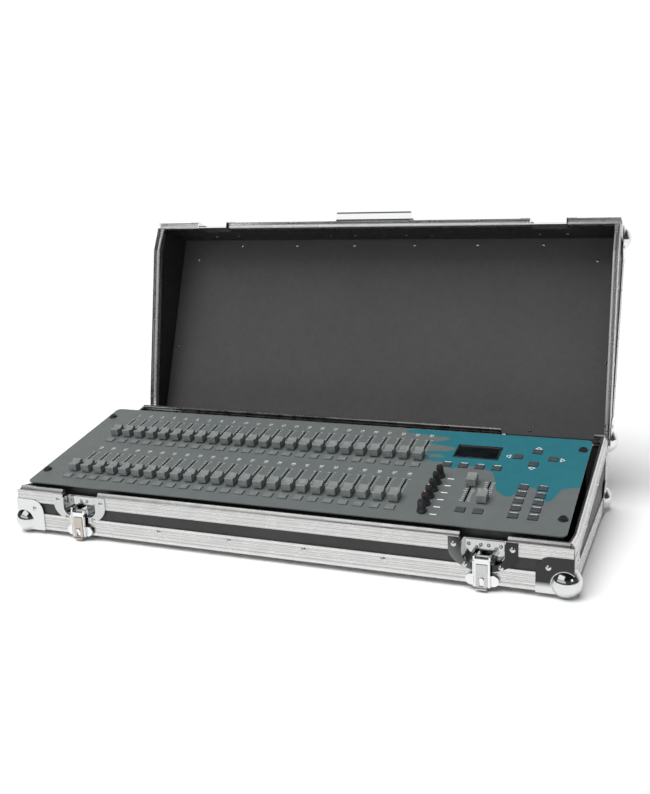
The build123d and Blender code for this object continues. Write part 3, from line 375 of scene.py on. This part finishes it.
def panel_paint():
    """Textured grey powder coat with a printed teal field at the rear right."""
    mat = Material("panel_paint")
    panel = mat.mapped(rotation=(-PANEL_SLOPE, 0, 0))
    split = mat.node("ShaderNodeSeparateXYZ")
    mat.link(panel, split.inputs["Vector"])
    rotated_front = Matrix.Rotation(-PANEL_SLOPE, 3, "X") @ PANEL_FRONT
    u = mat.levels(split.outputs["X"], -PANEL_W / 2, PANEL_W / 2)
    v = mat.levels(split.outputs["Y"], rotated_front.y, rotated_front.y + PANEL_L)
    lower_edge = [(0.0, 0.62), (0.74, 0.62), (0.765, 0.56), (0.80, 0.60), (0.835, 0.585), (0.855, 0.50),
                  (0.872, 0.36), (0.892, 0.32), (0.906, 0.42), (0.925, 0.43), (0.94, 0.34), (0.955, 0.30),
                  (0.967, 0.40), (0.98, 0.45), (1.0, 0.47)]
    left_edge = [(0.0, 0.765), (0.60, 0.765), (0.65, 0.725), (0.69, 0.745), (0.73, 0.715), (0.76, 0.755),
                 (0.80, 0.765), (0.84, 0.705), (0.875, 0.74), (0.905, 0.755), (0.94, 0.68), (0.975, 0.665),
                 (1.0, 0.69)]
    wobble = mat.levels(mat.noise(45, 1), 0.3, 0.7, -0.012, 0.012)
    above = mat.math("GREATER_THAN", mat.math("ADD", v, wobble), curve_node(mat, u, lower_edge))
    right = mat.math("GREATER_THAN", mat.math("ADD", u, wobble), curve_node(mat, v, left_edge))
    field = mat.math("MULTIPLY", above, right)
    grey = mat.ramp(mat.noise(60, 5), [(0.35, GREY_DARK), (0.7, GREY_LIGHT)])
    teal = mat.ramp(mat.noise(60, 5), [(0.35, TEAL_DARK), (0.7, TEAL_LIGHT)])
    mat.colour(mat.mix(field, grey, teal))
    mat.roughness(mat.levels(mat.noise(200, 4), 0.3, 0.7, 0.42, 0.58))
    mat.bump(mat.noise(1400, 2), 0.00007, 0.5)
    return mat.data


def wood(name):
    mat = Material(name)
    grain = mat.noise(30, 6, 0.6, mat.mapped((0.12, 1, 1)))
    mat.colour(mat.ramp(grain, [(0.3, (0.28, 0.18, 0.09)), (0.7, (0.5, 0.36, 0.2))]))
    mat.set(Roughness=0.7)
    mat.bump(grain, 0.0002, 0.5)
    return mat.data


def glass_dark(name):
    """Near-black polished window with the faintest smears."""
    mat = Material(name)
    mat.colour(mat.ramp(mat.noise(80, 4), [(0.3, (0.004, 0.005, 0.006)), (0.8, (0.010, 0.012, 0.013))]))
    mat.roughness(mat.levels(mat.noise(90, 5, 0.6, mat.mapped((1, 3, 1))), 0.35, 0.75, 0.05, 0.16))
    mat.set(Coat_Weight=0.6, Coat_Roughness=0.05)
    return mat.data


def print_ink(name, tone):
    """Screen-printed ink, slightly uneven."""
    mat = Material(name)
    mat.colour(mat.ramp(mat.noise(900, 3), [(0.3, tuple(c * 0.8 for c in tone)), (0.6, tone)]))
    mat.set(Roughness=0.6)
    mat.bump(mat.noise(1200, 2), 0.00002, 0.4)
    return mat.data


BLACK_LAMINATE = laminate(
    "black_laminate", (0.016, 0.016, 0.016), (0.022, 0.022, 0.022), (0.07, 0.07, 0.07), 0.45
)
LINING = laminate(
    "charcoal_lining", (0.056, 0.054, 0.054), (0.062, 0.060, 0.060), (0.13, 0.125, 0.125), 0.6, True
)
BASE_ALUMINIUM = extrusion("base_extrusion", False)
LID_ALUMINIUM = extrusion("lid_extrusion", True)
BASE_RIM = extrusion("base_rim_extrusion", False, True)
LID_RIM = extrusion("lid_rim_extrusion", True, True)
CHROME = metal("plated_steel", (0.78, 0.79, 0.795), 0.09, (1, 1, 1), 0.00001, 0.15)
HANDLE_STEEL = handle_chrome()
CORNER_STEEL = front_chrome("corner_plated_steel", (0.66, 0.67, 0.675), True)
DISH_STEEL = front_chrome("pressed_plated_steel", (0.54, 0.55, 0.55), False)
WARM_HOOK = metal("warm_plated_steel", (0.50, 0.45, 0.40), 0.20, (1, 1, 1), 0.00002, 0.3)
COOL_HOOK = metal("cool_plated_steel", (0.56, 0.56, 0.55), 0.20, (1, 1, 1), 0.00002, 0.3)
RIVET = metal("rivet_steel", (0.62, 0.62, 0.61), 0.20, (1, 1, 1), 0.00002, 0.15)
LID_RIVET = lid_rivet_metal()
PANEL = panel_paint()
CHASSIS = plastic("chassis_paint", (0.014, 0.015, 0.015), (0.020, 0.021, 0.021), 0.5, 1400, 0.00007)
CAP = plastic("cap_plastic", (0.158, 0.173, 0.170), (0.168, 0.183, 0.180), 0.42)
KEY = plastic("key_plastic", (0.132, 0.146, 0.144), (0.145, 0.160, 0.157), 0.48)
SLATE_KEY = plastic("slate_key_plastic", (0.044, 0.050, 0.055), (0.054, 0.060, 0.066), 0.42)
BLACK_PLASTIC = plastic("black_plastic", (0.012, 0.012, 0.013), (0.022, 0.022, 0.023), 0.42)
BATTEN = wood("batten_plywood")
WINDOW = glass_dark("display_window_glass")
BEZEL = metal("bezel_metal", (0.50, 0.52, 0.53), 0.28, (1, 1, 1), 0.00002)
BOARD = plastic("board_laminate", (0.01, 0.10, 0.03), (0.02, 0.13, 0.045), 0.45)
WHITE_INK = print_ink("white_ink", (0.86, 0.87, 0.86))

NODE_MATERIALS = {
    "bottom_board": BLACK_LAMINATE, "base_front_wall": BLACK_LAMINATE, "base_rear_wall": BLACK_LAMINATE,
    "base_side_walls": BLACK_LAMINATE, "lid_front_wall": BLACK_LAMINATE, "lid_rear_wall": BLACK_LAMINATE,
    "lid_side_walls": BLACK_LAMINATE, "lid_top_board": LINING,
    "base_rim_front": BASE_RIM, "base_rim_rear": BASE_RIM, "base_rim_sides": BASE_RIM,
    "base_edge_trims": BASE_ALUMINIUM, "lid_rims": LID_RIM, "lid_edge_trims": LID_ALUMINIUM,
    "base_ball_corners": CORNER_STEEL, "lid_ball_corners": CHROME, "latch_dishes": DISH_STEEL,
    "lid_keeper_dishes": CHROME, "hinge_leaves_base": CHROME, "hinge_leaves_lid": CHROME,
    "handle_plates": CHROME, "handle_bail": HANDLE_STEEL, "base_rivets": RIVET, "lid_rivets": LID_RIVET,
    "latch_left_arm": CHROME, "latch_left_butterfly": CHROME, "latch_left_hook": WARM_HOOK,
    "latch_right_arm": CHROME, "latch_right_butterfly": CHROME, "latch_right_hook": COOL_HOOK,
    "top_panel": PANEL, "chassis_tray": CHASSIS, "panel_screws": BLACK_PLASTIC, "circuit_board": BOARD,
    "fader_units": BEZEL, "knob_pots": BLACK_PLASTIC, "display_bezel": BEZEL, "display_window": WINDOW,
    "display_module": BLACK_PLASTIC, "rear_sockets": BLACK_PLASTIC, "desk_rails": BATTEN,
    "faders_lower_left": CAP, "faders_lower_right": CAP, "faders_upper_left": CAP, "faders_upper_right": CAP,
    "master_fader_left": CAP, "master_fader_right": CAP,
    "flash_buttons_lower": KEY, "flash_buttons_upper": KEY, "function_buttons": SLATE_KEY,
    "arrow_buttons": SLATE_KEY, "memory_buttons": SLATE_KEY, "master_buttons": SLATE_KEY,
}
for colour in ("red", "green", "blue", "white", "amber", "violet"):
    NODE_MATERIALS[f"knob_{colour}"] = BLACK_PLASTIC

BEVEL_WIDTH = {
    "faders": 0.0006, "master": 0.0006, "knob_": 0.0004, "latch": 0.0003,
    "handle_bail": 0.0009, "base_rim": 0.00008, "lid_rim": 0.00008, "lid_": 0.0003, "base_": 0.0003,
}
for name, obj in nodes.items():
    obj.data.materials.clear()
    obj.data.materials.append(NODE_MATERIALS[name])
    width = next((w for start, w in BEVEL_WIDTH.items() if name.startswith(start)), 0.0002)
    bevel = obj.modifiers.new("soft_edges", "BEVEL")
    bevel.width = width
    bevel.segments = 2
    bevel.limit_method = "ANGLE"
    bevel.angle_limit = math.radians(32)
    bevel.harden_normals = False


# ---- pieces made here -----------------------------------------------------
def mesh_object(name, bm, material, body):
    mesh = bpy.data.meshes.new(name)
    bm.to_mesh(mesh)
    bm.free()
    obj = bpy.data.objects.new(name, mesh)
    bpy.context.scene.collection.objects.link(obj)
    mesh.materials.append(material)
    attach(obj, body)
    return obj


def add_patch(bm, u0, u1, v0, v1, lift=PRINT_LIFT):
    """Flat printed rectangle on the panel."""
    corners = [on_panel(u, v, lift) for u, v in ((u0, v0), (u1, v0), (u1, v1), (u0, v1))]
    bm.faces.new([bm.verts.new(corner) for corner in corners])


def add_line(bm, a, b, width, lift=PRINT_LIFT):
    """Printed stroke between two (u, v) points."""
    along = (Vector(b) - Vector(a)).normalized()
    across = Vector((-along.y, along.x)) * width / 2
    corners = (Vector(a) - across, Vector(b) - across, Vector(b) + across, Vector(a) + across)
    bm.faces.new([bm.verts.new(on_panel(c.x, c.y, lift)) for c in corners])


def scale_ticks():
    """Fader scales: eleven ticks each side of every slot."""
    bm = bmesh.new()
    for row in range(2):
        for channel in range(CHANNELS):
            u = FADER_FIRST_U + channel * FADER_PITCH
            low = SLOT_LOW_V + row * ROW_PITCH
            for step in range(TICKS):
                v = low + TICK_STEP + step * TICK_STEP
                long = 0.0030 if step == TICKS - 1 else 0.0016
                for side in (-1, 1):
                    inner = u + side * 0.0024
                    outer = inner + side * long
                    add_patch(bm, min(inner, outer), max(inner, outer), v - 0.00025, v + 0.00025)
    for u in MASTER_U:
        for step in range(TICKS):
            v = MASTER_SLOT_V + 0.0025 + step * TICK_STEP
            for side in (-1, 1):
                inner = u + side * 0.0026
                outer = inner + side * (0.0042 if step % 5 == 0 else 0.0028)
                add_patch(bm, min(inner, outer), max(inner, outer), v - 0.0003, v + 0.0003)
    return mesh_object("printed_scales", bm, WHITE_INK, "desk")


def text_mesh(text, size):
    """The plain built-in font as a mesh, centred on its own middle."""
    curve = bpy.data.curves.new("number", "FONT")
    curve.body = text
    curve.size = size
    curve.align_x = "CENTER"
    curve.align_y = "CENTER"
    holder = bpy.data.objects.new("number", curve)
    bpy.context.scene.collection.objects.link(holder)
    bpy.context.view_layer.update()
    mesh = bpy.data.meshes.new_from_object(holder)
    bpy.data.objects.remove(holder)
    return mesh


def channel_numbers():
    """Channel numbers 1-24 over the upper faders and 25-48 over the lower ones."""
    bm = bmesh.new()
    turn = Matrix.Rotation(PANEL_SLOPE, 4, "X")
    for row, first in ((1, 1), (0, 25)):
        for channel in range(CHANNELS):
            u = FADER_FIRST_U + channel * FADER_PITCH
            v = 0.1045 + row * ROW_PITCH
            mesh = text_mesh(str(first + channel), 0.0058)
            mesh.transform(Matrix.Translation(on_panel(u, v, PRINT_LIFT)) @ turn)
            bm.from_mesh(mesh)
            bpy.data.meshes.remove(mesh)
            add_patch(bm, u - 0.0022, u + 0.0022, v - 0.0037, v - 0.0032)
    return mesh_object("printed_channel_numbers", bm, WHITE_INK, "desk")


def key_legends():
    """Plain printed bars beside the keys and outlined triangles beside the arrows."""
    bm = bmesh.new()
    for u in FUNCTION_U:
        add_patch(bm, u - 0.0042, u + 0.0042, FUNCTION_V + 0.0066, FUNCTION_V + 0.0081)
    for u in MEMORY_U:
        for v in MEMORY_V:
            add_patch(bm, u - 0.0045, u + 0.0045, v + 0.0061, v + 0.0076)
    for index in range(6):
        v = KNOB_V + index * KNOB_PITCH
        add_patch(bm, KNOB_U + 0.0105, KNOB_U + 0.0185, v - 0.0046, v - 0.0030)
    offsets = {"left": (-1, 0), "right": (1, 0), "up": (0, 1), "down": (0, -1)}
    for name, (u, v) in ARROWS.items():
        du, dv = offsets[name]
        tip = Vector((u + du * 0.0145, v + dv * 0.0128))
        back = Vector((u + du * 0.0095, v + dv * 0.0080))
        side = Vector((-dv, du)) * 0.0042
        corners = (tip, back + side, back - side)
        for a, b in zip(corners, corners[1:] + corners[:1]):
            add_line(bm, a, b, 0.0008)
    return mesh_object("printed_key_legends", bm, WHITE_INK, "desk")


POINTER_COLOURS = {
    "violet": (0.10, 0.10, 0.55), "amber": (0.80, 0.30, 0.03), "white": (0.80, 0.80, 0.80),
    "blue": (0.03, 0.22, 0.70), "green": (0.03, 0.45, 0.10), "red": (0.65, 0.04, 0.04),
}
# Knob outline from its middle outwards, radius and height, and the line on it, in millimetres.
KNOB_PROFILE = ((0.0, 16.2), (1.7, 16.0), (3.0, 15.2), (3.9, 13.8), (4.3, 12.0))
KNOB_GAP = 0.8
POINTER_HALF_WIDTH = 0.75
POINTER_LIFT = 0.15
POINTER_OUT = 0.12


def knob_pointers():
    """Raised coloured line over the top of each knob, pointing up the panel."""
    for index, (name, tone) in enumerate(POINTER_COLOURS.items()):
        bm = bmesh.new()
        rows = []
        for radius, height in KNOB_PROFILE:
            lift = (KNOB_GAP + height + POINTER_LIFT) * MM
            v = KNOB_V + index * KNOB_PITCH + (radius + POINTER_OUT) * MM
            sides = [KNOB_U + side * POINTER_HALF_WIDTH * MM for side in (-1, 1)]
            rows.append([bm.verts.new(on_panel(u, v, lift)) for u in sides])
        for low, high in zip(rows, rows[1:]):
            bm.faces.new((low[0], low[1], high[1], high[0]))
        ink = print_ink(f"pointer_{name}", tone)
        pointer = mesh_object(f"pointer_{name}", bm, ink, f"knob_{name}")
        solidify = pointer.modifiers.new("thickness", "SOLIDIFY")
        solidify.thickness = 0.0003


scale_ticks()
channel_numbers()
key_legends()
knob_pointers()

# ---- floor, light and camera ----------------------------------------------
floor_mat = Material("studio_floor")
floor_stops = [(0.3, (0.90, 0.90, 0.90)), (0.7, (0.93, 0.93, 0.93))]
floor_mat.colour(floor_mat.ramp(floor_mat.noise(3, 3), floor_stops))
floor_mat.set(Roughness=0.75)
floor_bm = bmesh.new()
bmesh.ops.create_grid(floor_bm, x_segments=8, y_segments=8, size=6.0)
bmesh.ops.translate(floor_bm, verts=floor_bm.verts, vec=(0, 0, FLOOR_Z - 0.0002))
floor_mesh = bpy.data.meshes.new("studio_floor")
floor_bm.to_mesh(floor_mesh)
floor_bm.free()
floor = bpy.data.objects.new("studio_floor", floor_mesh)
floor_mesh.materials.append(floor_mat.data)
bpy.context.scene.collection.objects.link(floor)


def studio_world():
    """Soft room: a bright backdrop, a darker room in front of it and a dim ceiling."""
    world = bpy.data.worlds.new("studio")
    bpy.context.scene.world = world
    world.use_nodes = True
    tree = world.node_tree
    coords = tree.nodes.new("ShaderNodeTexCoord")
    split = tree.nodes.new("ShaderNodeSeparateXYZ")
    tree.links.new(coords.outputs["Generated"], split.inputs["Vector"])

    def ramped(value, low, high, out_low, out_high):
        level = tree.nodes.new("ShaderNodeMapRange")
        level.interpolation_type = "SMOOTHSTEP"
        for key, number in zip(RANGE_INPUTS, (low, high, out_low, out_high)):
            level.inputs[key].default_value = number
        tree.links.new(value, level.inputs["Value"])
        return level.outputs["Result"]

    backdrop = ramped(split.outputs["Y"], 0.10, 0.68, 0.06, 1.0)
    ceiling = ramped(split.outputs["Z"], 0.30, 0.62, 1.0, 0.16)
    level = tree.nodes.new("ShaderNodeMath")
    level.operation = "MULTIPLY"
    tree.links.new(backdrop, level.inputs[0])
    tree.links.new(ceiling, level.inputs[1])
    background = tree.nodes["Background"]
    tree.links.new(level.outputs["Value"], background.inputs["Color"])
    background.inputs["Strength"].default_value = 1.02


studio_world()
bpy.context.scene.view_settings.view_transform = "Standard"


def area_light(name, place, aim, size, watts):
    light = bpy.data.lights.new(name, "AREA")
    light.shape = "RECTANGLE"
    light.size, light.size_y = size
    light.energy = watts
    holder = bpy.data.objects.new(name, light)
    holder.location = place
    holder.rotation_euler = (Vector(aim) - Vector(place)).to_track_quat("-Z", "Y").to_euler()
    bpy.context.scene.collection.objects.link(holder)


def sun_light(name, direction, strength, spread):
    """Even light over the whole floor, as soft as the spread is wide."""
    light = bpy.data.lights.new(name, "SUN")
    light.energy = strength
    light.angle = math.radians(spread)
    holder = bpy.data.objects.new(name, light)
    holder.rotation_euler = Vector(direction).to_track_quat("-Z", "Y").to_euler()
    holder.visible_glossy = False
    bpy.context.scene.collection.objects.link(holder)


sun_light("room_light", (0.25, 0.35, -1.0), 3.6, 60)
area_light("key_light", (-0.75, -1.45, 1.55), (0, 0.1, 0.25), (1.9, 1.2), 8)
area_light("front_strip", (-0.8, -2.1, 0.75), (0, 0.15, 0.3), (2.8, 0.6), 3.6)
area_light("fill_light", (1.9, -1.3, 1.0), (0, 0, 0.1), (0.5, 0.5), 1.2)
area_light("top_light", (0.0, -0.1, 2.1), (0, 0, 0.1), (1.4, 0.5), 3)

CAMERA_PLACE = ORIGIN + Vector((0.5023, -1.1331, 0.4446))
YAW = math.radians(21.216)
PITCH = math.radians(-12.413)
ROLL = math.radians(-1.686)
SENSOR_MM = 36
LENS_MM = 52.647
SHIFT_ACROSS = -0.04615         # sideways shift of the frame, as a share of its width
SHIFT_UP = -0.01062

forward = Vector((-math.sin(YAW) * math.cos(PITCH), math.cos(YAW) * math.cos(PITCH), math.sin(PITCH)))
level_right = Vector((math.cos(YAW), math.sin(YAW), 0))
level_up = level_right.cross(forward)
right = level_right * math.cos(ROLL) + level_up * math.sin(ROLL)
up = level_up * math.cos(ROLL) - level_right * math.sin(ROLL)
camera_data = bpy.data.cameras.new("camera")
camera_data.sensor_fit = "HORIZONTAL"
camera_data.sensor_width = SENSOR_MM
camera_data.lens = LENS_MM
camera_data.shift_x = SHIFT_ACROSS
camera_data.shift_y = SHIFT_UP
camera_data.clip_start = 0.01
camera = bpy.data.objects.new("camera", camera_data)
bpy.context.scene.collection.objects.link(camera)
camera.matrix_world = Matrix(
    (
        (right.x, up.x, -forward.x, CAMERA_PLACE.x),
        (right.y, up.y, -forward.y, CAMERA_PLACE.y),
        (right.z, up.z, -forward.z, CAMERA_PLACE.z),
        (0, 0, 0, 1),
    )
)
bpy.context.scene.camera = camera

bpy.context.view_layer.update()
